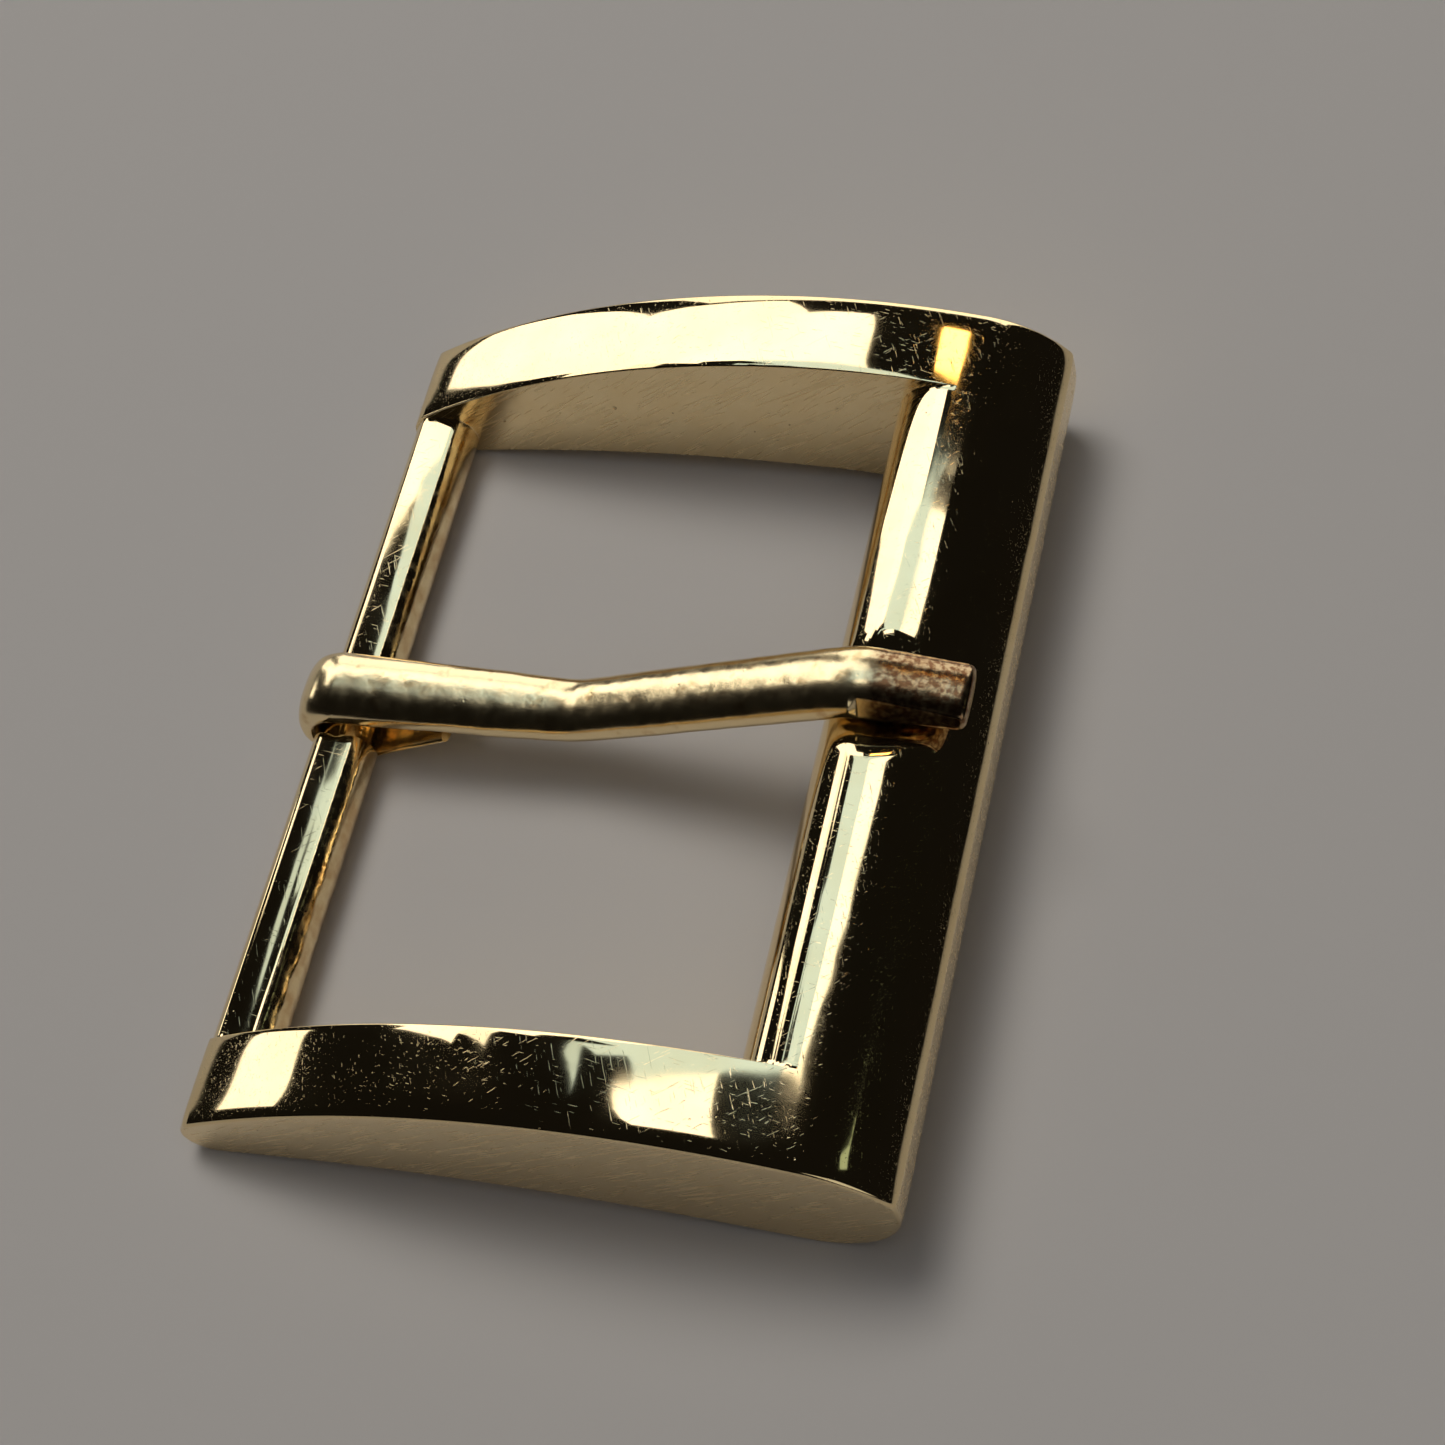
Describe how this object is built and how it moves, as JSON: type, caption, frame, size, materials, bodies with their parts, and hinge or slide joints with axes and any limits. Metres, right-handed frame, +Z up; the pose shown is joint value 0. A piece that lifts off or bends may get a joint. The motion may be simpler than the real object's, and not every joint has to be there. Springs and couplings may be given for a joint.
{
  "type": "belt buckle",
  "caption": "Single-window dress belt buckle with an arched frame, a heel bar for the strap and a swinging tongue resting in a scoop on the front bar.",
  "frame": {"origin": "middle of the buckle's outline, on the plane that the rail ends lie on", "axes": "+X from the heel bar to the front bar, +Y across the strap, +Z up out of the plane it lies on"},
  "size_m": [0.0348, 0.0438, 0.0101],
  "materials": {
    "polished_brass": "polished",
    "satin_brass": "satin"
  },
  "bodies": {
    "frame": {"frame": "polished_brass"},
    "tongue": {"tongue": "satin_brass"}
  },
  "joints": [
    {"name": "tongue_hinge", "type": "hinge", "parent": "frame", "child": "tongue", "pos_m": [-0.01498, 0.0007, 0.00175], "axis": [0, -1, 0], "range_deg": [0, 160]}
  ]
}
